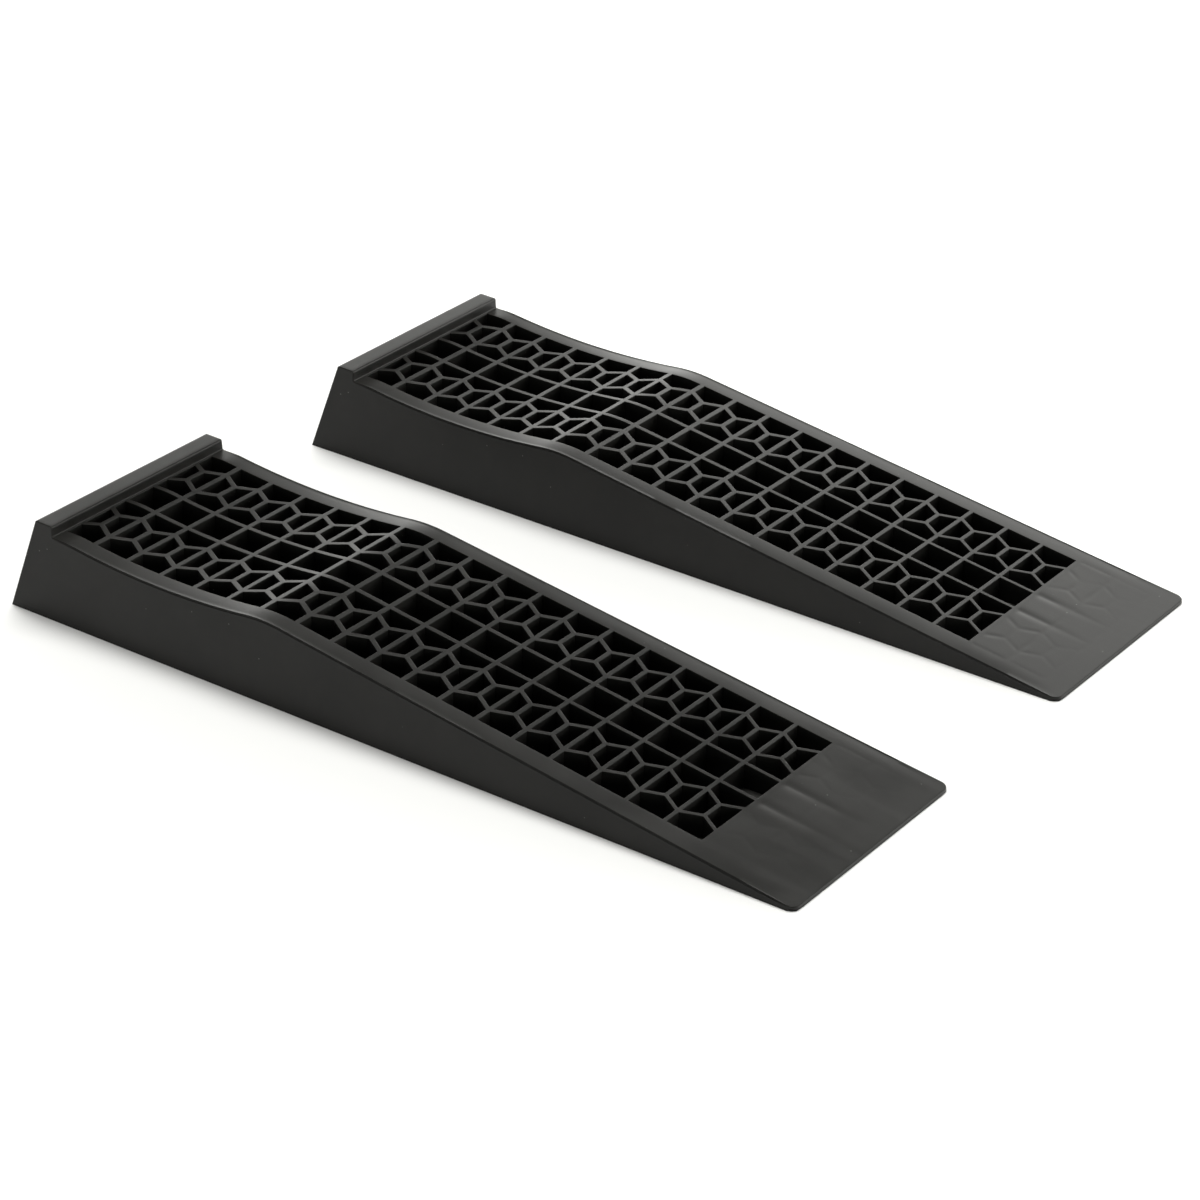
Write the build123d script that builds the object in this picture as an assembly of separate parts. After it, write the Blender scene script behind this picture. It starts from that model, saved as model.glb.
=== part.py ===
"""A pair of low wheel ramps for levelling a parked trailer or camper, in millimetres.

Each ramp is one plastic moulding, open underneath.  Its deck climbs from a thin toe at +X to a
rounded crest, dips into a shallow wheel cradle and ends at a raised stop lip over the tall end.
The two ramps are equal and stand side by side; the origin is on the ground, midway between them.
"""
import os
from math import cos, radians, sin, sqrt, tan

from build123d import *

# Driving sizes of one ramp.
LENGTH = 900.0
WIDTH = 260.0
LIP_HEIGHT = 98.0
CRADLE_HEIGHT = 77.8
TOE_HEIGHT = 4.0
BAY_COUNT = 18
BAY_PITCH = 41.2

# Slopes, in degrees.
INCLINE = 7.9
END_WALL_LEAN = 17.7
SIDE_DRAFT = 3.3
RIB_DRAFT = 0.7

# Wall thicknesses.
SKIN = 4.5
RIB_AT_GROUND = 3.3

# Places along the length, measured from the foot of the tall end.
APRON_EDGE = 790.6
LATTICE_START = APRON_EDGE - BAY_COUNT * BAY_PITCH
FIRST_CROSS_WALL = 52.0
LIP_INNER_FOOT = 52.6
LIP_DRAFT = 0.5
CRADLE_CENTRE = 195.0

# Deck curves.
CRADLE_RADIUS = 865.0
LANDING_HEIGHT = 86.4
LANDING_BLEND = 100.0
CREST_RADIUS = 160.0
LIP_EDGE_RADIUS = 2.0
LIP_ROOT_RADIUS = 1.2
RIM_EDGE_RADIUS = 2.0
TOE_EDGE_RADIUS = 1.5
TOE_CORNER_RADIUS = 9.0

# Lattice pattern, measured across the ramp from its centre line.
HEXAGON_SIDE = BAY_PITCH / sqrt(3)
CENTRE_COLUMN = 20.0
HEXAGON_CENTRE = 62.0
RIM_RIB = 108.0
BLIND_BAYS = 2

# Distance between the centre lines of the two ramps.
RAMP_SPACING = 458.0


def deck_points():
    """Corners of the deck line before its bends are rounded: landing end and crest, as (x, z)."""
    arc_centre = CRADLE_HEIGHT + CRADLE_RADIUS
    landing_x = CRADLE_CENTRE - sqrt(CRADLE_RADIUS**2 - (arc_centre - LANDING_HEIGHT) ** 2)
    # Distance of the cradle's arc centre from the incline, and of the crest along it.
    slope = radians(INCLINE)
    drop = (arc_centre - TOE_HEIGHT) * cos(slope) - (LENGTH - CRADLE_CENTRE) * sin(slope)
    along = (LENGTH - CRADLE_CENTRE) * cos(slope) + (arc_centre - TOE_HEIGHT) * sin(slope)
    reach = along - sqrt(CRADLE_RADIUS**2 - drop**2)
    crest = (LENGTH - reach * cos(slope), TOE_HEIGHT + reach * sin(slope))
    return (landing_x, LANDING_HEIGHT), crest


def side_outline(bottom):
    """The ramp seen from its side, filled down to the height `bottom`."""
    lean = tan(radians(END_WALL_LEAN))
    foot = (lean * bottom, bottom)
    lip_outer = (lean * LIP_HEIGHT, LIP_HEIGHT)
    lip_inner = (LIP_INNER_FOOT - LIP_DRAFT, LIP_HEIGHT - LIP_DRAFT)
    lip_root = (LIP_INNER_FOOT, LANDING_HEIGHT)
    landing, crest = deck_points()
    toe = (LENGTH, TOE_HEIGHT)
    edges = Polyline(landing, lip_root, lip_inner, lip_outer, foot, (LENGTH, bottom), toe, crest)
    cradle = ThreePointArc(crest, (CRADLE_CENTRE, CRADLE_HEIGHT), landing)
    face = make_face(edges + cradle)
    for corner, radius in (
        (crest, CREST_RADIUS),
        (landing, LANDING_BLEND),
        (lip_root, LIP_ROOT_RADIUS),
        (lip_inner, LIP_EDGE_RADIUS),
        (lip_outer, LIP_EDGE_RADIUS),
        (toe, TOE_EDGE_RADIUS),
    ):
        face = fillet(face.vertices().sort_by_distance(corner)[0], radius)
    return Plane.XZ * face


def drafted_block(inset):
    """The plan of the ramp drawn up with leaning sides, each side moved in by `inset`."""
    with BuildSketch() as plan:
        with Locations((LENGTH / 2, 0)):
            Rectangle(LENGTH - 2 * inset, WIDTH - 2 * inset)
        fillet(plan.vertices().group_by(Axis.X)[-1], TOE_CORNER_RADIUS)
    return extrude(plan.sketch, amount=LIP_HEIGHT + SKIN, taper=SIDE_DRAFT)


def outer_shape():
    """The ramp as a full block, with the upper edges along both sides rounded."""
    block = extrude(side_outline(0), amount=WIDTH, both=True) & drafted_block(0)
    along = block.edges().filter_by(Axis.Y, reverse=True)
    rims = [edge for edge in along if edge.bounding_box().min.Z > TOE_HEIGHT / 4]
    return fillet(rims, RIM_EDGE_RADIUS)


def hollow_shape():
    """The space inside the skin, reaching down past the ground."""
    inside = offset(side_outline(-4 * SKIN), amount=-SKIN)
    return extrude(inside, amount=WIDTH, both=True) & drafted_block(SKIN)


def bay_cells(bay):
    """Rib centre-line outlines of the nine cells in one bay; the first bay is cut short by the lip."""
    grid_line = LATTICE_START + bay * BAY_PITCH
    start = max(grid_line, FIRST_CROSS_WALL)
    middle = grid_line + BAY_PITCH / 2
    end = grid_line + BAY_PITCH
    # The slanted ribs of a hexagon rise one unit across for every root-three units along.
    cut = (start - grid_line) / sqrt(3)
    outer_tip = HEXAGON_CENTRE + HEXAGON_SIDE
    outer_flat = HEXAGON_CENTRE + HEXAGON_SIDE / 2
    inner_flat = HEXAGON_CENTRE - HEXAGON_SIDE / 2
    inner_tip = HEXAGON_CENTRE - HEXAGON_SIDE
    by_the_rim = [(start, RIM_RIB), (start, outer_tip - cut), (middle, outer_flat), (end, outer_tip),
                  (end, RIM_RIB)]
    near_half = [(start, outer_tip - cut), (start, inner_tip + cut), (middle, inner_flat),
                 (middle, outer_flat)]
    far_half = [(end, outer_tip), (middle, outer_flat), (middle, inner_flat), (end, inner_tip)]
    by_the_centre = [(start, inner_tip + cut), (start, CENTRE_COLUMN), (end, CENTRE_COLUMN),
                     (end, inner_tip), (middle, inner_flat)]
    one_side = [by_the_rim, near_half, far_half, by_the_centre]
    other_side = [mirrored(cell) for cell in one_side]
    centre = [(start, CENTRE_COLUMN), (start, -CENTRE_COLUMN), (end, -CENTRE_COLUMN), (end, CENTRE_COLUMN)]
    return one_side + other_side + [centre]


def mirrored(cell):
    """The same outline on the other side of the centre line."""
    return [(x, -y) for x, y in reversed(cell)]


def rim_cells(bay):
    """Outlines of the two spaces under the rims beside one bay."""
    start = max(LATTICE_START + bay * BAY_PITCH, FIRST_CROSS_WALL)
    end = LATTICE_START + (bay + 1) * BAY_PITCH
    cell = [(start, WIDTH), (start, RIM_RIB), (end, RIM_RIB), (end, WIDTH)]
    return [cell, mirrored(cell)]


def lip_cells():
    """Outlines of the spaces under the stop lip, between the ribs that run on to the end wall."""
    lines = (WIDTH, RIM_RIB, CENTRE_COLUMN, -CENTRE_COLUMN, -RIM_RIB, -WIDTH)
    start = -BAY_PITCH
    end = FIRST_CROSS_WALL
    return [[(start, high), (start, low), (end, low), (end, high)] for high, low in zip(lines, lines[1:])]


def rib_spaces(cells):
    """Tapered prisms between ribs that thicken upwards, for a list of rib centre-line outlines."""
    openings = Sketch()
    for cell in cells:
        outline = make_face(Polyline(*cell, close=True))
        openings += offset(outline, -RIB_AT_GROUND / 2, kind=Kind.INTERSECTION)
    return extrude(openings, amount=LIP_HEIGHT + SKIN, taper=RIB_DRAFT)


def ramp():
    """One ramp, with the foot of its tall end at x = 0 and its centre line along X."""
    open_cells = []
    blind_cells = lip_cells()
    for bay in range(BAY_COUNT + BLIND_BAYS):
        deck_cells = open_cells if bay < BAY_COUNT else blind_cells
        deck_cells += bay_cells(bay)
        blind_cells += rim_cells(bay)
    return outer_shape() - (rib_spaces(blind_cells) & hollow_shape()) - rib_spaces(open_cells)


def main():
    one_ramp = ramp()
    os.makedirs("parts", exist_ok=True)
    for node, side in (("left_ramp", -1), ("right_ramp", 1)):
        placed = Pos(-LENGTH / 2, side * RAMP_SPACING / 2) * one_ramp
        export_step(placed, f"parts/{node}.step")


main()
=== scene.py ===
"""Looks of the levelling ramp set: two equal honeycomb ramps in black moulded plastic.

Each CAD ramp is replaced by a finer mesh of the same shape.  The mesh adds what a moulding has and the
CAD leaves out: rounded rib edges and cell corners, a slightly crowned rim with a parting line under it,
and shallow sink marks where ribs run on under the apron.  Sizes are in millimetres as far as
ramp_object, and in metres from the plastic on.
"""
from collections import namedtuple
from math import cos, exp, hypot, pi, radians, sin, sqrt, tan

import bpy
import numpy as np
from mathutils import Matrix, Vector, noise
from mathutils.geometry import delaunay_2d_cdt


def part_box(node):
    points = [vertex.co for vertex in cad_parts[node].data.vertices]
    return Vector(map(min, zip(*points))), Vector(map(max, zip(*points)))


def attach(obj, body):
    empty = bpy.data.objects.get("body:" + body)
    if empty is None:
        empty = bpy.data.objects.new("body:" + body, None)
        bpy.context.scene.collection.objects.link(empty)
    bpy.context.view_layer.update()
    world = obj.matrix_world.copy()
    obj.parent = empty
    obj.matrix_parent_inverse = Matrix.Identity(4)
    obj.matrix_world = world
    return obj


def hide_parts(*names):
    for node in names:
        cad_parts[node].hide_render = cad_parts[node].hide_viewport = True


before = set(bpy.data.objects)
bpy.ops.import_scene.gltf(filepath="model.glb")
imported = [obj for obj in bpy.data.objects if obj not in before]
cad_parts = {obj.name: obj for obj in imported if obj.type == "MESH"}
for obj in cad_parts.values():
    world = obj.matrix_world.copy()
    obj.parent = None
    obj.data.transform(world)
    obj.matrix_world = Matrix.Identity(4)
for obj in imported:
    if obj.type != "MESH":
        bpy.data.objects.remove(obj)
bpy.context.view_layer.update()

MILLIMETRE = 0.001
SHARP_ANGLE = radians(40)

# Sizes of one ramp, the same as in the CAD.
LENGTH = 900.0
HALF_WIDTH = 130.0
LIP_HEIGHT = 98.0
TOE_HEIGHT = 4.0
BAY_COUNT = 18
BLIND_BAYS = 2
BAY_PITCH = 41.2
INCLINE = radians(7.9)
END_WALL_SLOPE = tan(radians(17.7))
SIDE_DRAFT = tan(radians(3.3))
RIB_DRAFT = tan(radians(0.7))
SKIN = 4.5
HALF_RIB = 1.65
APRON_EDGE = 790.6
LATTICE_START = APRON_EDGE - BAY_COUNT * BAY_PITCH
FIRST_CROSS_WALL = 52.0
LIP_INNER_FOOT = 52.6
LIP_DRAFT = 0.5
LIP_EDGE_RADIUS = 2.0
LIP_ROOT_RADIUS = 1.2
LANDING_HEIGHT = 86.4
LANDING_BLEND = 100.0
CRADLE_CENTRE = 195.0
CRADLE_HEIGHT = 77.8
CRADLE_RADIUS = 865.0
CREST_RADIUS = 160.0
TOE_CORNER_RADIUS = 9.0
HEXAGON_SIDE = BAY_PITCH / sqrt(3)
CENTRE_COLUMN = 20.0
HEXAGON_CENTRE = 62.0
RIM_RIB = 108.0

# Finer shape that only this mesh has.
CELL_EDGE_RADIUS = 0.4
CELL_CORNER_RADIUS = 0.8
RIM_EDGE_RADIUS = 1.3
OTHER_EDGE_RADIUS = 1.0
RIM_CROWN = 0.9
CROWN_START = 20.0
CROWN_FADE = 70.0
RIM_NARROWS_FROM = 860.0
PARTING_DEPTH = 0.7
PARTING_WIDTH = 1.2
PARTING_LEAST_WIDTH = 0.2
PARTING_RAGGEDNESS = 0.3
PARTING_FLOOR = (0.25, 0.65)
PARTING_FADE_AT_LIP = 20.0
PARTING_FADE_AT_TOE = 25.0
SINK_DEPTH = 0.5
SINK_WIDTH = 5.5
SINK_FADE = 45.0
SINK_LEFT_AT_EDGE = 0.3
CREASE_WIDTH = 2.4
CREASE_FADE = 75.0
CREASE_UNEVENNESS = 1.5
WAVE_HEIGHT = 0.12
WAVE_LENGTH = 70.0
BAND_HEIGHT = 0.05
BAND_LENGTH = 22.0

# Spacing of mesh points.
ROUND_STEPS = 3
CORNER_STEPS = 2
ALONG_STEP = 5.0
APRON_STEP = 2.0
WALL_STEP = 10.0
CORNER_STEP = 2.0
APRON_MARGIN = 3.0
RIM_MARGIN_AT_LIP = 4.0
RIM_MARGIN_AT_TOE = 6.0
RIM_LINES = (0.1, 0.3, 0.5, 0.7)
WALL_MARGIN_ABOVE = 6.0
WALL_MARGIN_AT_TALL_END = 30.0
WALL_MARGIN_AT_TOE = 60.0
# The end wall's lowest profile points have no row across, because its foot has points of its own.
FIRST_LIP_ROW = 2
# Largest share of a straight run of the profile between two mesh points.
END_WALL_SHARE = 0.08
LIP_TOP_SHARE = 0.3
LIP_FACE_SHARE = 0.4
# The kind of output asked of Blender's triangulation, and how close two points are when they are one.
FILL_OUTLINES = 1
SAME_POINT = 1e-4


# ---------------------------------------------------------------- side profile

def touching_circle(radius, line_point, line_direction, line_normal):
    """Centre of the circle of `radius` under a deck line that also touches the cradle's arc."""
    cradle_middle = Vector((CRADLE_CENTRE, CRADLE_HEIGHT + CRADLE_RADIUS))
    start = line_point - radius * line_normal - cradle_middle
    along = start.dot(line_direction)
    reach = -along - sqrt(along**2 - start.length_squared + (CRADLE_RADIUS + radius) ** 2)
    centre = cradle_middle + start + reach * line_direction
    touch = cradle_middle + (centre - cradle_middle) * CRADLE_RADIUS / (CRADLE_RADIUS + radius)
    return centre, touch


LANDING_MIDDLE, CRADLE_BEGIN = touching_circle(
    LANDING_BLEND, Vector((0, LANDING_HEIGHT)), Vector((1, 0)), Vector((0, 1)))
CREST_MIDDLE, CRADLE_END = touching_circle(
    CREST_RADIUS, Vector((LENGTH, TOE_HEIGHT)), Vector((-cos(INCLINE), sin(INCLINE))),
    Vector((sin(INCLINE), cos(INCLINE))))
CREST_END = CREST_MIDDLE.x + CREST_RADIUS * sin(INCLINE)


def deck(x):
    """Height of the ideal deck, from the landing behind the lip to the toe."""
    if x < LANDING_MIDDLE.x:
        return LANDING_HEIGHT
    if x < CRADLE_BEGIN.x:
        return LANDING_MIDDLE.y + sqrt(LANDING_BLEND**2 - (x - LANDING_MIDDLE.x) ** 2)
    if x < CRADLE_END.x:
        return CRADLE_HEIGHT + CRADLE_RADIUS - sqrt(CRADLE_RADIUS**2 - (x - CRADLE_CENTRE) ** 2)
    if x < CREST_END:
        return CREST_MIDDLE.y + sqrt(CREST_RADIUS**2 - (x - CREST_MIDDLE.x) ** 2)
    return TOE_HEIGHT + (LENGTH - x) * tan(INCLINE)


def rounded_corner(before, corner, after, radius, steps=ROUND_STEPS):
    """Points of the arc that rounds one corner of a path in the plane."""
    towards_before = (before - corner).normalized()
    towards_after = (after - corner).normalized()
    half_angle = towards_before.angle(towards_after) / 2
    middle = corner + (towards_before + towards_after).normalized() * radius / sin(half_angle)
    first = corner + towards_before * radius / tan(half_angle) - middle
    last = corner + towards_after * radius / tan(half_angle) - middle
    turn = first.angle_signed(last)
    return [middle + Matrix.Rotation(-turn * step / steps, 2) @ first for step in range(steps + 1)]


def spaced(start, end, step):
    """Evenly spaced numbers from start to end, both included, no farther apart than `step`."""
    return np.linspace(start, end, max(2, int(abs(end - start) / step) + 2))


def inner_points(start, end, share):
    """Points inside a straight run, no more than `share` of its length apart."""
    return [start.lerp(end, part) for part in spaced(0, 1, share)[1:-1]]


def profile_path():
    """Points of the side profile from the foot of the tall end, over the lip, to the toe."""
    foot = Vector((0, 0))
    lip_outer = Vector((END_WALL_SLOPE * LIP_HEIGHT, LIP_HEIGHT))
    lip_inner = Vector((LIP_INNER_FOOT - LIP_DRAFT, LIP_HEIGHT - LIP_DRAFT))
    root = Vector((LIP_INNER_FOOT, LANDING_HEIGHT))
    landing = Vector((LANDING_MIDDLE.x, LANDING_HEIGHT))
    outer_round = rounded_corner(foot, lip_outer, lip_inner, LIP_EDGE_RADIUS)
    inner_round = rounded_corner(lip_outer, lip_inner, root, LIP_EDGE_RADIUS)
    root_round = rounded_corner(lip_inner, root, landing, LIP_ROOT_RADIUS)
    path = [foot] + inner_points(foot, outer_round[0], END_WALL_SHARE) + outer_round
    path += inner_points(outer_round[-1], inner_round[0], LIP_TOP_SHARE) + inner_round
    path += inner_points(inner_round[-1], root_round[0], LIP_FACE_SHARE) + root_round
    deck_start = root_round[-1].x
    deck_places = spaced(deck_start, LENGTH - TOE_CORNER_RADIUS, ALONG_STEP)[1:]
    path += [Vector((x, deck(x))) for x in deck_places]
    return path, deck_start


PROFILE, DECK_START = profile_path()
PROFILE_X = np.array([point.x for point in PROFILE])
PROFILE_Z = np.array([point.y for point in PROFILE])
PROFILE_S = np.concatenate([[0], np.cumsum(np.hypot(np.diff(PROFILE_X), np.diff(PROFILE_Z)))])
FIRST_DECK_POINT = int(np.searchsorted(PROFILE_X, DECK_START))


def path_length_at(x):
    """Distance along the profile of the deck point at x."""
    last = len(PROFILE_S) - 1
    if x > PROFILE_X[last]:
        return PROFILE_S[last] + (x - PROFILE_X[last]) / cos(INCLINE)
    return float(np.interp(x, PROFILE_X[FIRST_DECK_POINT:], PROFILE_S[FIRST_DECK_POINT:]))


# ------------------------------------------------------------- honeycomb plan

def mirrored(cell):
    """The same outline on the other side of the centre line."""
    return [(x, -y) for x, y in reversed(cell)]


def rectangle(start, end, high, low):
    """Outline, anticlockwise, from start to end along the ramp and from low to high across it."""
    return [(start, high), (start, low), (end, low), (end, high)]


def bay_cells(bay):
    """Rib centre-line outlines, anticlockwise, of the nine cells in one bay."""
    grid_line = LATTICE_START + bay * BAY_PITCH
    start = max(grid_line, FIRST_CROSS_WALL)
    middle = grid_line + BAY_PITCH / 2
    end = grid_line + BAY_PITCH
    cut = (start - grid_line) / sqrt(3)
    outer_tip = HEXAGON_CENTRE + HEXAGON_SIDE
    outer_flat = HEXAGON_CENTRE + HEXAGON_SIDE / 2
    inner_flat = HEXAGON_CENTRE - HEXAGON_SIDE / 2
    inner_tip = HEXAGON_CENTRE - HEXAGON_SIDE
    by_the_rim = [(start, RIM_RIB), (start, outer_tip - cut), (middle, outer_flat), (end, outer_tip),
                  (end, RIM_RIB)]
    near_half = [(start, outer_tip - cut), (start, inner_tip + cut), (middle, inner_flat),
                 (middle, outer_flat)]
    far_half = [(end, outer_tip), (middle, outer_flat), (middle, inner_flat), (end, inner_tip)]
    by_the_centre = [(start, inner_tip + cut), (start, CENTRE_COLUMN), (end, CENTRE_COLUMN),
                     (end, inner_tip), (middle, inner_flat)]
    one_side = [by_the_rim, near_half, far_half, by_the_centre]
    centre = rectangle(start, end, CENTRE_COLUMN, -CENTRE_COLUMN)
    return one_side + [mirrored(cell) for cell in one_side] + [centre]


def rim_cells(bay):
    """Outlines of the two spaces under the rims beside one bay, as wide as the skin allows."""
    start = max(LATTICE_START + bay * BAY_PITCH, FIRST_CROSS_WALL)
    end = LATTICE_START + (bay + 1) * BAY_PITCH
    wall = HALF_WIDTH - SKIN + HALF_RIB
    cell = rectangle(start, end, wall, RIM_RIB)
    return [cell, mirrored(cell)]


def lip_cells():
    """Outlines of the spaces under the stop lip."""
    wall = HALF_WIDTH - SKIN + HALF_RIB
    lines = (wall, RIM_RIB, CENTRE_COLUMN, -CENTRE_COLUMN, -RIM_RIB, -wall)
    start = SKIN * sqrt(1 + END_WALL_SLOPE**2) - HALF_RIB
    return [rectangle(start, FIRST_CROSS_WALL, high, low) for high, low in zip(lines, lines[1:])]


def opening_outline(cell):
    """Ground-level outline between the ribs of a cell: points with outward directions, anticlockwise."""
    corners = [Vector(point) for point in cell]
    normals = []
    for corner, following in zip(corners, corners[1:] + corners[:1]):
        along = (following - corner).normalized()
        normals.append(Vector((along.y, -along.x)))
    middles = []
    for corner, before, after in zip(corners, normals[-1:] + normals[:-1], normals):
        spread = 1 + before.dot(after)
        middles.append(corner - (before + after) * (HALF_RIB + CELL_CORNER_RADIUS) / spread)
    outline = []
    for k, middle in enumerate(middles):
        before, after = normals[k - 1], normals[k]
        for step in range(CORNER_STEPS + 1):
            outward = before.slerp(after, step / CORNER_STEPS)
            outline.append((middle + CELL_CORNER_RADIUS * outward, outward))
        begin = middle + CELL_CORNER_RADIUS * after
        finish = middles[(k + 1) % len(middles)] + CELL_CORNER_RADIUS * after
        share = ALONG_STEP / max((finish - begin).length, ALONG_STEP)
        outline += [(point, after) for point in inner_points(begin, finish, share)]
    return outline


def hidden_ribs():
    """Centre lines of the ribs that run on under the apron, each once, as pairs of points."""
    lines = set()
    for bay in range(BAY_COUNT, BAY_COUNT + BLIND_BAYS):
        for cell in bay_cells(bay):
            for start, end in zip(cell, cell[1:] + cell[:1]):
                lines.add((min(start, end), max(start, end)))
    for side in (-RIM_RIB, RIM_RIB):
        lines.add(((APRON_EDGE, side), (LENGTH - CROWN_FADE / 2, side)))
    return [(Vector(start), Vector(end)) for start, end in sorted(lines)]


HIDDEN_RIBS = hidden_ribs()


def distance_to_line(point, line):
    """Distance of a point from a line segment."""
    start, end = line
    span = end - start
    share = (point - start).dot(span) / span.length_squared
    return (start + span * min(max(share, 0), 1) - point).length


def bell(distance, width):
    """Falls smoothly from 1 at no distance to nearly 0 at twice the width."""
    return exp(-((distance / width) ** 2))


def uneven(x, y, length, seed):
    """Smooth noise between -1 and 1 whose patches are about `length` across."""
    return noise.noise(Vector((x / length, y / length, seed)))


def sink_marks(x, y, seed, crease_depth):
    """Depth of the marks on the apron over the ribs that run on beneath it."""
    past_edge = x - APRON_EDGE - HALF_RIB
    if past_edge <= 0:
        return 0.0
    nearest = min(distance_to_line(Vector((x, y)), rib) for rib in HIDDEN_RIBS)
    crease = crease_depth * (1 + CREASE_UNEVENNESS * uneven(x, y, SINK_FADE / 2, seed))
    depth = max(0.0, crease) * bell(past_edge, CREASE_FADE) * bell(nearest, CREASE_WIDTH)
    column = abs(abs(y) - CENTRE_COLUMN)
    depth += SINK_DEPTH * bell(past_edge, SINK_FADE) * bell(column, SINK_WIDTH)
    return depth * min(1.0, SINK_LEFT_AT_EDGE + past_edge / SINK_WIDTH)


def relief(x, y, seed, crease_depth):
    """How far the moulded skin lies below the ideal deck."""
    across = max(0.0, (abs(y) - RIM_RIB) / (HALF_WIDTH - RIM_RIB))
    crown = RIM_CROWN * across**2 * min(1.0, (LENGTH - x) / CROWN_FADE)
    wave = WAVE_HEIGHT * (1 + uneven(x, y, WAVE_LENGTH, seed))
    start = min(1.0, max(0.0, (x - DECK_START) / CROWN_START))
    return (crown + wave) * start + sink_marks(x, y, seed, crease_depth)


# ------------------------------------------------------------------ mesh parts

class Shell:
    """Points and faces of one ramp while it is being put together."""

    def __init__(self, seed, crease_depth):
        self.seed = seed
        self.crease_depth = crease_depth
        self.points = []
        self.faces = []

    def add(self, x, y, z):
        """Adds a point and returns its number."""
        self.points.append((x, y, z))
        return len(self.points) - 1

    def skin(self, x, y, depth=0.0):
        """Adds a point on the moulded deck, or `depth` below it."""
        return self.add(x, y, deck(x) - relief(x, y, self.seed, self.crease_depth) - depth)

    def band(self, upper, lower, closed=True):
        """Joins two rows of points with faces.  Closed rows are rings, with faces that look inwards."""
        count = len(upper)
        for k in range(count if closed else count - 1):
            after = (k + 1) % count
            self.faces.append([upper[k], upper[after], lower[after], lower[k]])

    def sheet(self, outer, holes, loose=(), rows=(), downward=False):
        """Fills `outer` less `holes` with triangles.  Entries are (point number, flat position).

        No triangle crosses a line of `rows`, each a list of point numbers.
        """
        entries = list(outer)
        loops = [list(range(len(outer)))]
        for hole in holes:
            loops.append(list(range(len(entries), len(entries) + len(hole))))
            entries += hole
        entries += loose
        flat = [Vector(position) for _, position in entries]
        index = {number: k for k, (number, _) in enumerate(entries)}
        kept = [(index[a], index[b]) for row in rows for a, b in zip(row, row[1:])]
        _, _, triangles, sources, _, owners = delaunay_2d_cdt(
            flat, kept, loops, FILL_OUTLINES, SAME_POINT)
        for triangle, owner in zip(triangles, owners):
            if owner == [0]:
                face = [entries[sources[corner][0]][0] for corner in triangle]
                self.faces.append(face[::-1] if downward else face)


def open_cell(shell, cell):
    """Walls and rounded upper edge of a cell that goes right through.  Returns its two rims."""
    outline = opening_outline(cell)
    rows = []
    for step in range(ROUND_STEPS + 1):
        turn = pi / 2 * step / ROUND_STEPS
        spread = CELL_EDGE_RADIUS * (1 - sin(turn))
        drop = CELL_EDGE_RADIUS * (1 - cos(turn))
        row = []
        for point, outward in outline:
            place = point + outward * (spread - RIB_DRAFT * deck(max(point.x, DECK_START)))
            row.append((shell.skin(place.x, place.y, drop), place))
        rows.append(row)
    for upper, lower in zip(rows, rows[1:]):
        shell.band([number for number, _ in upper], [number for number, _ in lower])
    ground = [(shell.add(point.x, point.y, 0), point) for point, _ in outline]
    shell.band([number for number, _ in rows[-1]], [number for number, _ in ground])
    return [(number, (path_length_at(place.x), place.y)) for number, place in rows[0]], ground


def blind_cell(shell, cell, under_lip=False):
    """Walls and ceiling of a space that is open only below.  Returns its rim on the ground."""
    outline = opening_outline(cell)
    start, end = min(x for x, _ in cell), max(x for x, _ in cell)
    ceiling = []
    for point, outward in outline:
        height = (LIP_HEIGHT if under_lip else deck(point.x)) - SKIN
        place = point - outward * RIB_DRAFT * height
        beside_wall = max(0.0, abs(point.y) - RIM_RIB) / (HALF_WIDTH - RIM_RIB)
        place.y -= (SIDE_DRAFT - RIB_DRAFT) * height * beside_wall * (1 if point.y > 0 else -1)
        if under_lip:
            place.x += (END_WALL_SLOPE - RIB_DRAFT) * height * (end - point.x) / (end - start)
        ceiling.append(shell.add(place.x, place.y, height))
    ground = [(shell.add(point.x, point.y, 0), point) for point, _ in outline]
    shell.band(ceiling, [number for number, _ in ground])
    shell.faces.append(ceiling[::-1])
    return ground


def ground_plan(distance):
    """Point and outward direction on the ground outline, measured from the tall end's near corner."""
    side = LENGTH - TOE_CORNER_RADIUS
    arc = TOE_CORNER_RADIUS * pi / 2
    front = 2 * (HALF_WIDTH - TOE_CORNER_RADIUS)
    if distance > side + arc + front / 2:
        point, outward = ground_plan(2 * (side + arc) + front - distance)
        return Vector((point.x, -point.y)), Vector((outward.x, -outward.y))
    if distance <= side:
        return Vector((distance, -HALF_WIDTH)), Vector((0, -1))
    if distance >= side + arc:
        return Vector((LENGTH, -HALF_WIDTH + TOE_CORNER_RADIUS + distance - side - arc)), Vector((1, 0))
    turn = (distance - side) / TOE_CORNER_RADIUS
    outward = Vector((sin(turn), -cos(turn)))
    return Vector((side, TOE_CORNER_RADIUS - HALF_WIDTH)) + TOE_CORNER_RADIUS * outward, outward


OUTLINE_LENGTH = (2 * (LENGTH - TOE_CORNER_RADIUS) + TOE_CORNER_RADIUS * pi
                  + 2 * (HALF_WIDTH - TOE_CORNER_RADIUS))
EdgePlace = namedtuple("EdgePlace", "distance height normal profile_index")


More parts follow.
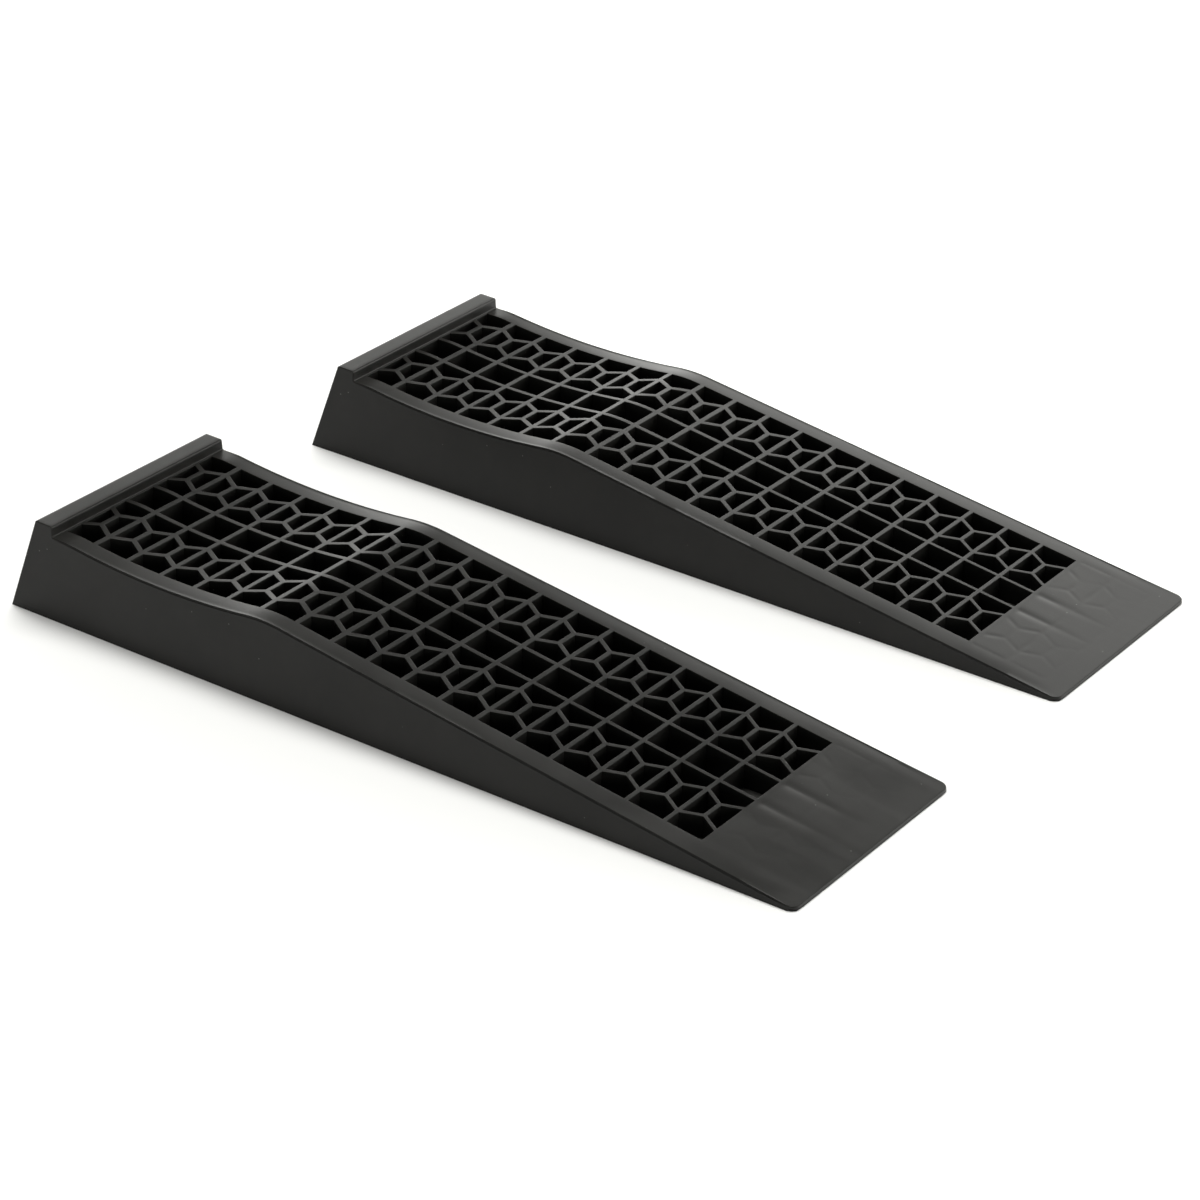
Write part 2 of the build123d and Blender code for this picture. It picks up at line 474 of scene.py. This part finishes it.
def edge_places():
    """Places on the sharp edge between skin and wall, from the tall end's near corner to its far one."""
    half = []
    slopes = zip(np.gradient(PROFILE_X), np.gradient(PROFILE_Z))
    for index, (dx, dz) in enumerate(slopes):
        size = hypot(dx, dz)
        normal = Vector((-dz / size, dx / size))
        half.append(EdgePlace(PROFILE_X[index], PROFILE_Z[index], normal, index))
    side = LENGTH - TOE_CORNER_RADIUS
    arc = TOE_CORNER_RADIUS * pi / 2
    round_corner = spaced(side, side + arc, CORNER_STEP)[1:]
    across_toe = spaced(side + arc, OUTLINE_LENGTH / 2, ALONG_STEP)[1:]
    for distance in [*round_corner, *across_toe]:
        point, _ = ground_plan(distance)
        half.append(EdgePlace(distance, deck(point.x), Vector((0, 1)), None))
    return half + [place._replace(distance=OUTLINE_LENGTH - place.distance) for place in half[-2::-1]]


def wall_place(distance, height, inset=0.0):
    """Point of the drafted outer wall in plan, or `inset` inside it."""
    point, outward = ground_plan(distance)
    return point - outward * (SIDE_DRAFT * height + inset)


def wall_point(shell, distance, height, inset=0.0):
    """Adds a point on the drafted outer wall, or `inset` inside it."""
    place = wall_place(distance, height, inset)
    return shell.add(place.x, place.y, height)


def rim_edge(x):
    """Radius of a rim's rounded edge and strength of its parting line, 0 to 1, at x."""
    narrowing = max(0, (x - RIM_NARROWS_FROM) / (LENGTH - RIM_NARROWS_FROM))
    radius = RIM_EDGE_RADIUS - (RIM_EDGE_RADIUS - OTHER_EDGE_RADIUS) * narrowing
    parting = min(1, (x - DECK_START) / PARTING_FADE_AT_LIP, (LENGTH - x) / PARTING_FADE_AT_TOE)
    return radius, parting


def edge_column(shell, place):
    """Points from the skin over the rounded edge and past the parting line at one place.

    Returns them with the flat positions of the first, on the skin, and the last, on the wall.
    """
    x = wall_place(place.distance, place.height).x
    beside_lip = place.profile_index is not None and x < DECK_START + 1
    radius, parting = OTHER_EDGE_RADIUS, 0.0
    if place.profile_index is not None and not beside_lip:
        radius, parting = rim_edge(x)
    forwards = -1 if place.distance > OUTLINE_LENGTH / 2 else 1

    def lowered(drop):
        """Distance round the outline, and height, `drop` below the sharp edge."""
        along = place.distance - forwards * place.normal.x * drop
        return along, max(place.height - place.normal.y * drop, 0)

    top = wall_place(place.distance, place.height, radius)
    if beside_lip:
        column = [shell.add(top.x, top.y, place.height)]
        skin_flat = (float(PROFILE_S[place.profile_index]), top.y)
    else:
        column = [shell.skin(top.x, top.y)]
        skin_flat = (path_length_at(top.x), top.y)
    for step in range(1, ROUND_STEPS + 1):
        turn = pi / 2 * step / ROUND_STEPS
        along, height = lowered(radius * (1 - cos(turn)))
        column.append(wall_point(shell, along, height, radius * (1 - sin(turn))))

    depth = PARTING_DEPTH * parting * (1 + PARTING_RAGGEDNESS * uneven(
        place.distance, 0, ALONG_STEP, shell.seed))
    width = PARTING_WIDTH * max(parting, PARTING_LEAST_WIDTH)
    for share, inset in [(part, depth) for part in PARTING_FLOOR] + [(1.0, 0.0)]:
        along, height = lowered(radius + width * share)
        column.append(wall_point(shell, along, height, inset))
    return column, skin_flat, (along, height)


def rounded_rim(shell):
    """The rounded edge all round.  Returns its columns and its upper and lower rows."""
    columns, upper, lower = [], [], []
    for place in edge_places():
        column, skin_flat, wall_flat = edge_column(shell, place)
        columns.append(column)
        upper.append((column[0], skin_flat))
        lower.append((column[-1], wall_flat))
    for first, second in zip(columns, columns[1:]):
        shell.band(first, second, closed=False)
    return columns, upper, lower


def build_ramp(seed, crease_depth):
    """The whole ramp as a Shell."""
    shell = Shell(seed, crease_depth)
    deck_holes, ground_holes = [], []
    for bay in range(BAY_COUNT + BLIND_BAYS):
        for cell in bay_cells(bay):
            if bay < BAY_COUNT:
                deck_rim, ground_rim = open_cell(shell, cell)
                deck_holes.append(deck_rim)
            else:
                ground_rim = blind_cell(shell, cell)
            ground_holes.append(ground_rim)
        ground_holes += [blind_cell(shell, cell) for cell in rim_cells(bay)]
    ground_holes += [blind_cell(shell, cell, under_lip=True) for cell in lip_cells()]
    columns, upper, lower = rounded_rim(shell)

    # The foot of the end wall, from the far side to the near side, then of the wall round the toe.
    reach = HALF_WIDTH - OTHER_EDGE_RADIUS
    end_foot = [(shell.add(0, y, 0), (0.0, y)) for y in spaced(reach, -reach, WALL_STEP)[1:-1]]
    (first, _), (last, _) = lower[0][1], lower[-1][1]
    wall_foot = [(wall_point(shell, distance, 0), (distance, 0.0))
                 for distance in spaced(first, last, WALL_STEP)[1:-1]]

    lip_rows = lip_points(shell, upper)
    loose = skin_points(shell) + [entry for row in lip_rows for entry in row[1:-1]]
    shell.sheet(upper + end_foot, deck_holes, loose, [[number for number, _ in row] for row in lip_rows])
    shell.sheet([lower[0]] + wall_foot + lower[:0:-1], [], wall_points(shell))

    outline = [lower[0][0]] + [number for number, _ in wall_foot] + columns[-1][::-1]
    outline += [number for number, _ in end_foot] + columns[0][:-1]
    shell.sheet([(number, shell.points[number][:2]) for number in outline], ground_holes, downward=True)
    return shell


def skin_points(shell):
    """Loose points that let the apron and rims follow their relief."""
    loose = []
    for x in np.arange(APRON_EDGE + HALF_RIB, LENGTH - APRON_MARGIN, APRON_STEP):
        for y in np.arange(-RIM_RIB, RIM_RIB + APRON_STEP / 2, APRON_STEP):
            loose.append((shell.skin(x, y), (path_length_at(x), y)))
    for x in np.arange(DECK_START + RIM_MARGIN_AT_LIP, LENGTH - RIM_MARGIN_AT_TOE, ALONG_STEP):
        for across in RIM_LINES:
            y = RIM_RIB + across * (HALF_WIDTH - SIDE_DRAFT * deck(x) - RIM_RIB)
            for side in (-y, y):
                loose.append((shell.skin(x, side), (path_length_at(x), side)))
    return loose


def lip_points(shell, upper):
    """Rows of points across the end wall, lip and root, each from the near edge to the far edge."""
    reach = HALF_WIDTH - SIDE_DRAFT * LIP_HEIGHT - ALONG_STEP
    rows = []
    for index in range(FIRST_LIP_ROW, FIRST_DECK_POINT + 1):
        row = [upper[index]]
        for y in spaced(-reach, reach, WALL_STEP):
            number = shell.add(PROFILE_X[index], y, PROFILE_Z[index])
            row.append((number, (float(PROFILE_S[index]), y)))
        rows.append(row + [upper[len(upper) - 1 - index]])
    return rows


def wall_points(shell):
    """Loose points that give the long walls a slight moulded waviness."""
    loose = []
    for x in np.arange(WALL_MARGIN_AT_TALL_END, LENGTH - WALL_MARGIN_AT_TOE, WALL_STEP):
        top = deck(x) if x > DECK_START else min(x / END_WALL_SLOPE, LIP_HEIGHT)
        for height in np.arange(WALL_STEP / 2, top - WALL_MARGIN_ABOVE, WALL_STEP):
            for distance in (x, OUTLINE_LENGTH - x):
                inset = WAVE_HEIGHT * (1 + uneven(distance, height, WAVE_LENGTH, shell.seed))
                inset += BAND_HEIGHT * (1 + uneven(distance, 0, BAND_LENGTH, shell.seed))
                number = wall_point(shell, distance, height, inset)
                loose.append((number, (distance, height)))
    return loose


def ramp_object(name, body, node, seed, crease_depth):
    """Makes the Blender object of one ramp, in metres, standing where its CAD node stands."""
    shell = build_ramp(seed, crease_depth)
    low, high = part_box(node)
    origin = Vector((low.x, (low.y + high.y) / 2, low.z))
    mesh = bpy.data.meshes.new(name)
    mesh.from_pydata([Vector(point) * MILLIMETRE for point in shell.points], [], shell.faces)
    mesh.validate()
    mesh.shade_smooth()
    mesh.set_sharp_from_angle(angle=SHARP_ANGLE)
    ramp = bpy.data.objects.new(name, mesh)
    bpy.context.scene.collection.objects.link(ramp)
    ramp.location = origin
    flat_first = ramp.modifiers.new("flat_faces_first", "WEIGHTED_NORMAL")
    flat_first.keep_sharp = True
    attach(ramp, body)
    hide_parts(node)
    return ramp


# ------------------------------------------------------------------- materials

def add_node(tree, kind, **settings):
    """Adds a shader node; settings that name an input set its value, others set the node itself."""
    node = tree.nodes.new(kind)
    for name, value in settings.items():
        socket = next((item for item in node.inputs if item.name.replace(" ", "_") == name), None)
        if socket is None:
            setattr(node, name, value)
        else:
            socket.default_value = value
    return node


def stretched_noise(tree, place, scales, detail, roughness):
    """Noise with its own scale along each axis, so that its patches can be long streaks."""
    stretch = add_node(tree, "ShaderNodeMapping")
    stretch.inputs["Scale"].default_value = scales
    streaks = add_node(tree, "ShaderNodeTexNoise", Scale=1.0, Detail=detail, Roughness=roughness)
    tree.links.new(place, stretch.inputs["Vector"])
    tree.links.new(stretch.outputs["Vector"], streaks.inputs["Vector"])
    return streaks.outputs["Fac"]


def plastic_colour(tree, place, clouds):
    """Near black, a little paler in cloudy patches, with grey dust specks."""
    link = tree.links.new
    tint = add_node(tree, "ShaderNodeValToRGB")
    darkest, palest = tint.color_ramp.elements
    darkest.position, palest.position = 0.35, 0.7
    darkest.color = (0.0090, 0.0088, 0.0080, 1)
    palest.color = (0.0140, 0.0136, 0.0124, 1)
    link(clouds, tint.inputs["Fac"])
    specks = add_node(tree, "ShaderNodeTexVoronoi", Scale=52.0)
    link(place, specks.inputs["Vector"])
    speck_mask = add_node(
        tree, "ShaderNodeMapRange", From_Min=0.022, From_Max=0.04, To_Min=0.55, To_Max=0.0)
    link(specks.outputs["Distance"], speck_mask.inputs["Value"])
    colour = add_node(tree, "ShaderNodeMix", data_type="RGBA")
    colour.inputs["B"].default_value = (0.16, 0.16, 0.15, 1)
    link(speck_mask.outputs["Result"], colour.inputs["Factor"])
    link(tint.outputs["Color"], colour.inputs["A"])
    return colour.outputs["Result"]


def plastic_roughness(tree, place, clouds):
    """Cloudy gloss, with long faint flow lines down the length of the ramp."""
    link = tree.links.new
    blend = add_node(tree, "ShaderNodeMath", operation="ADD")
    link(clouds, blend.inputs[0])
    flow = stretched_noise(tree, place, scales=(4.0, 60.0, 60.0), detail=4.0, roughness=0.55)
    link(flow, blend.inputs[1])
    gloss = add_node(tree, "ShaderNodeMapRange", From_Min=0.7, From_Max=1.3, To_Min=0.29, To_Max=0.40)
    link(blend.outputs["Value"], gloss.inputs["Value"])
    return gloss.outputs["Result"]


def plastic_relief(tree, place):
    """A sand-like grain of about half a millimetre, and hair scratches along the ramp."""
    link = tree.links.new
    grain = add_node(tree, "ShaderNodeTexNoise", Scale=1600.0, Detail=2.0, Roughness=0.6)
    link(place, grain.inputs["Vector"])
    grain_bump = add_node(tree, "ShaderNodeBump", Strength=0.25, Distance=0.00008)
    link(grain.outputs["Fac"], grain_bump.inputs["Height"])
    scratch_bump = add_node(tree, "ShaderNodeBump", Strength=0.18, Distance=0.0001)
    scratches = stretched_noise(tree, place, scales=(12.0, 420.0, 420.0), detail=3.0, roughness=0.7)
    link(scratches, scratch_bump.inputs["Height"])
    link(grain_bump.outputs["Normal"], scratch_bump.inputs["Normal"])
    return scratch_bump.outputs["Normal"]


def ramp_plastic():
    """Black moulded plastic: satin grain, cloudy gloss, flow lines, hair scratches and dust specks."""
    material = bpy.data.materials.new("ramp_plastic")
    material.use_nodes = True
    tree = material.node_tree
    shader = tree.nodes["Principled BSDF"]
    shader.inputs["IOR"].default_value = 1.5
    shader.inputs["Specular IOR Level"].default_value = 0.18
    place = add_node(tree, "ShaderNodeTexCoord").outputs["Object"]
    cloud_noise = add_node(tree, "ShaderNodeTexNoise", Scale=9.0, Detail=6.0, Roughness=0.6)
    tree.links.new(place, cloud_noise.inputs["Vector"])
    clouds = cloud_noise.outputs["Fac"]
    tree.links.new(plastic_colour(tree, place, clouds), shader.inputs["Base Color"])
    tree.links.new(plastic_roughness(tree, place, clouds), shader.inputs["Roughness"])
    tree.links.new(plastic_relief(tree, place), shader.inputs["Normal"])
    return material


# ---------------------------------------------------------------------- studio

FLOOR_REACH = 12.0
FLOOR_GAP = 0.0003
PALE_FLOOR = (0.9, 0.9, 0.9, 1.0)
# Painted shade: the near-black colour the floor takes inside the ramp cells, not the floor's own colour.
PAINTED_CELL_SHADE = (0.03, 0.03, 0.028, 1.0)
# How far the floor looks for ramps round it when painting shade in the cells, and the sideways and
# upward parts of each look.
ENCLOSED_REACH = 0.06
LOOK_ALONG = 0.8
LOOK_UP = 0.6
LOOK_SAMPLES = 16
OVERHEAD_SAMPLES = 8
WHITE_LIGHT = (1.0, 1.0, 0.97)
SENSOR_WIDTH = 36.0


def matt(tree, colour):
    """A matt surface of one colour."""
    return add_node(
        tree, "ShaderNodeBsdfPrincipled", Base_Color=colour, Roughness=0.9, Specular_IOR_Level=0.1)


def open_share(tree, direction, samples):
    """Share of the view from the floor towards `direction` that no ramp blocks nearby."""
    aim = add_node(tree, "ShaderNodeCombineXYZ", X=direction[0], Y=direction[1], Z=direction[2])
    view_out = add_node(tree, "ShaderNodeAmbientOcclusion", Distance=ENCLOSED_REACH, samples=samples)
    tree.links.new(aim.outputs["Vector"], view_out.inputs["Normal"])
    return view_out.outputs["AO"]


def floor_material():
    """Pale matt floor with painted shade: near-black where the ribs of a cell close it in on every side,
    with a faint painted shadow at the foot of the walls.
    """
    material = bpy.data.materials.new("studio_floor")
    material.use_nodes = True
    tree = material.node_tree
    link = tree.links.new
    tree.nodes.remove(tree.nodes["Principled BSDF"])

    # Close to a ramp the floor looks for an open side; inside a cell there is none, and there the floor
    # colour is painted dark as shade.
    widest = open_share(tree, (LOOK_ALONG, 0, LOOK_UP), LOOK_SAMPLES)
    for x, y in ((-LOOK_ALONG, 0), (0, LOOK_ALONG), (0, -LOOK_ALONG)):
        wider = add_node(tree, "ShaderNodeMath", operation="MAXIMUM")
        link(widest, wider.inputs[0])
        link(open_share(tree, (x, y, LOOK_UP), LOOK_SAMPLES), wider.inputs[1])
        widest = wider.outputs["Value"]
    open_side = add_node(tree, "ShaderNodeMapRange", From_Min=0.72, From_Max=0.85)
    link(widest, open_side.inputs["Value"])
    painted_shade_near_ramp = add_node(tree, "ShaderNodeMixShader")
    link(open_side.outputs["Result"], painted_shade_near_ramp.inputs["Fac"])
    link(matt(tree, PAINTED_CELL_SHADE).outputs["BSDF"], painted_shade_near_ramp.inputs[1])
    link(matt(tree, PALE_FLOOR).outputs["BSDF"], painted_shade_near_ramp.inputs[2])

    # Away from the ramps it is simply pale, which also saves it the four looks.
    open_sky = add_node(tree, "ShaderNodeMapRange", From_Min=0.85, From_Max=0.95)
    link(open_share(tree, (0, 0, 1), OVERHEAD_SAMPLES), open_sky.inputs["Value"])
    surface = add_node(tree, "ShaderNodeMixShader")
    link(open_sky.outputs["Result"], surface.inputs["Fac"])
    link(painted_shade_near_ramp.outputs["Shader"], surface.inputs[1])
    link(matt(tree, PALE_FLOOR).outputs["BSDF"], surface.inputs[2])
    link(surface.outputs["Shader"], tree.nodes["Material Output"].inputs["Surface"])
    return material


def studio_floor():
    """A square floor just under the ramps."""
    mesh = bpy.data.meshes.new("studio_floor")
    corners = [(-FLOOR_REACH, -FLOOR_REACH, 0), (FLOOR_REACH, -FLOOR_REACH, 0),
               (FLOOR_REACH, FLOOR_REACH, 0), (-FLOOR_REACH, FLOOR_REACH, 0)]
    mesh.from_pydata(corners, [], [(0, 1, 2, 3)])
    mesh.materials.append(floor_material())
    floor = bpy.data.objects.new("studio_floor", mesh)
    floor.location.z = -FLOOR_GAP
    bpy.context.scene.collection.objects.link(floor)


def studio_sky():
    """Soft light all round: bright near the horizon, dim overhead, stronger behind the ramps."""
    world = bpy.data.worlds.new("studio")
    bpy.context.scene.world = world
    world.use_nodes = True
    tree = world.node_tree
    direction = add_node(tree, "ShaderNodeTexCoord")
    parts = add_node(tree, "ShaderNodeSeparateXYZ")
    tree.links.new(direction.outputs["Generated"], parts.inputs["Vector"])
    glow = add_node(tree, "ShaderNodeMapRange", interpolation_type="SMOOTHSTEP",
                    From_Min=0.2, From_Max=0.43, To_Min=5.2, To_Max=0.2)
    tree.links.new(parts.outputs["Z"], glow.inputs["Value"])
    backdrop = add_node(tree, "ShaderNodeMapRange", interpolation_type="SMOOTHSTEP",
                        From_Min=-0.3, From_Max=0.5, To_Min=0.2, To_Max=1.0)
    tree.links.new(parts.outputs["Y"], backdrop.inputs["Value"])
    strength = add_node(tree, "ShaderNodeMath", operation="MULTIPLY")
    tree.links.new(glow.outputs["Result"], strength.inputs[0])
    tree.links.new(backdrop.outputs["Result"], strength.inputs[1])
    tree.links.new(strength.outputs["Value"], tree.nodes["Background"].inputs["Strength"])
    tree.nodes["Background"].inputs["Color"].default_value = (*WHITE_LIGHT, 1)


def area_light(name, place, aim, width, height, power):
    """A soft rectangular lamp at `place`, facing `aim`, that the camera doesn't see."""
    lamp = bpy.data.lights.new(name, "AREA")
    lamp.shape = "RECTANGLE"
    lamp.size = width
    lamp.size_y = height
    lamp.energy = power
    lamp.color = WHITE_LIGHT
    holder = bpy.data.objects.new(name, lamp)
    holder.location = place
    holder.rotation_euler = (Vector(aim) - Vector(place)).to_track_quat("-Z", "Y").to_euler()
    holder.visible_camera = False
    bpy.context.scene.collection.objects.link(holder)


def photo_camera(azimuth, elevation, roll, distance, target, lens):
    """A camera looking at `target` from the photo's side.  Angles are in degrees."""
    across, up = radians(azimuth), radians(elevation)
    back = Vector((sin(across) * cos(up), -cos(across) * cos(up), sin(up)))
    data = bpy.data.cameras.new("camera")
    data.lens = lens
    data.sensor_width = SENSOR_WIDTH
    camera = bpy.data.objects.new("camera", data)
    camera.matrix_world = (
        Matrix.Translation(Vector(target) + back * distance)
        @ back.to_track_quat("Z", "Y").to_matrix().to_4x4()
        @ Matrix.Rotation(radians(roll), 4, "Z"))
    bpy.context.scene.collection.objects.link(camera)
    bpy.context.scene.camera = camera
    bpy.context.scene.view_settings.view_transform = "Standard"


# ------------------------------------------------------------------- the scene

# Each ramp has its own waviness, and the right one's apron shows its creases more.
plastic = ramp_plastic()
for body_name, ramp_seed, ramp_creases in (("left", 1.7, 0.07), ("right", 8.3, 0.16)):
    cad_name = body_name + "_ramp"
    moulding = ramp_object(cad_name + "_moulding", body_name, cad_name, ramp_seed, ramp_creases)
    for shown in (moulding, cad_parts[cad_name]):
        shown.data.materials.clear()
        shown.data.materials.append(plastic)

# The low lamp behind gives the right ramp's deck its paler sheen.
studio_floor()
studio_sky()
area_light("overhead", place=(-0.6, 0.8, 6.0), aim=(0, 0, 0), width=3.5, height=3.5, power=400.0)
area_light("behind", place=(0.0, 0.8, 0.36), aim=(0.0, 0.45, -0.04), width=1.05, height=0.38, power=2.45)
photo_camera(azimuth=34.42, elevation=27.93, roll=1.83, distance=3.582,
             target=(-0.0065, 0.0016, 0.0), lens=109.6)
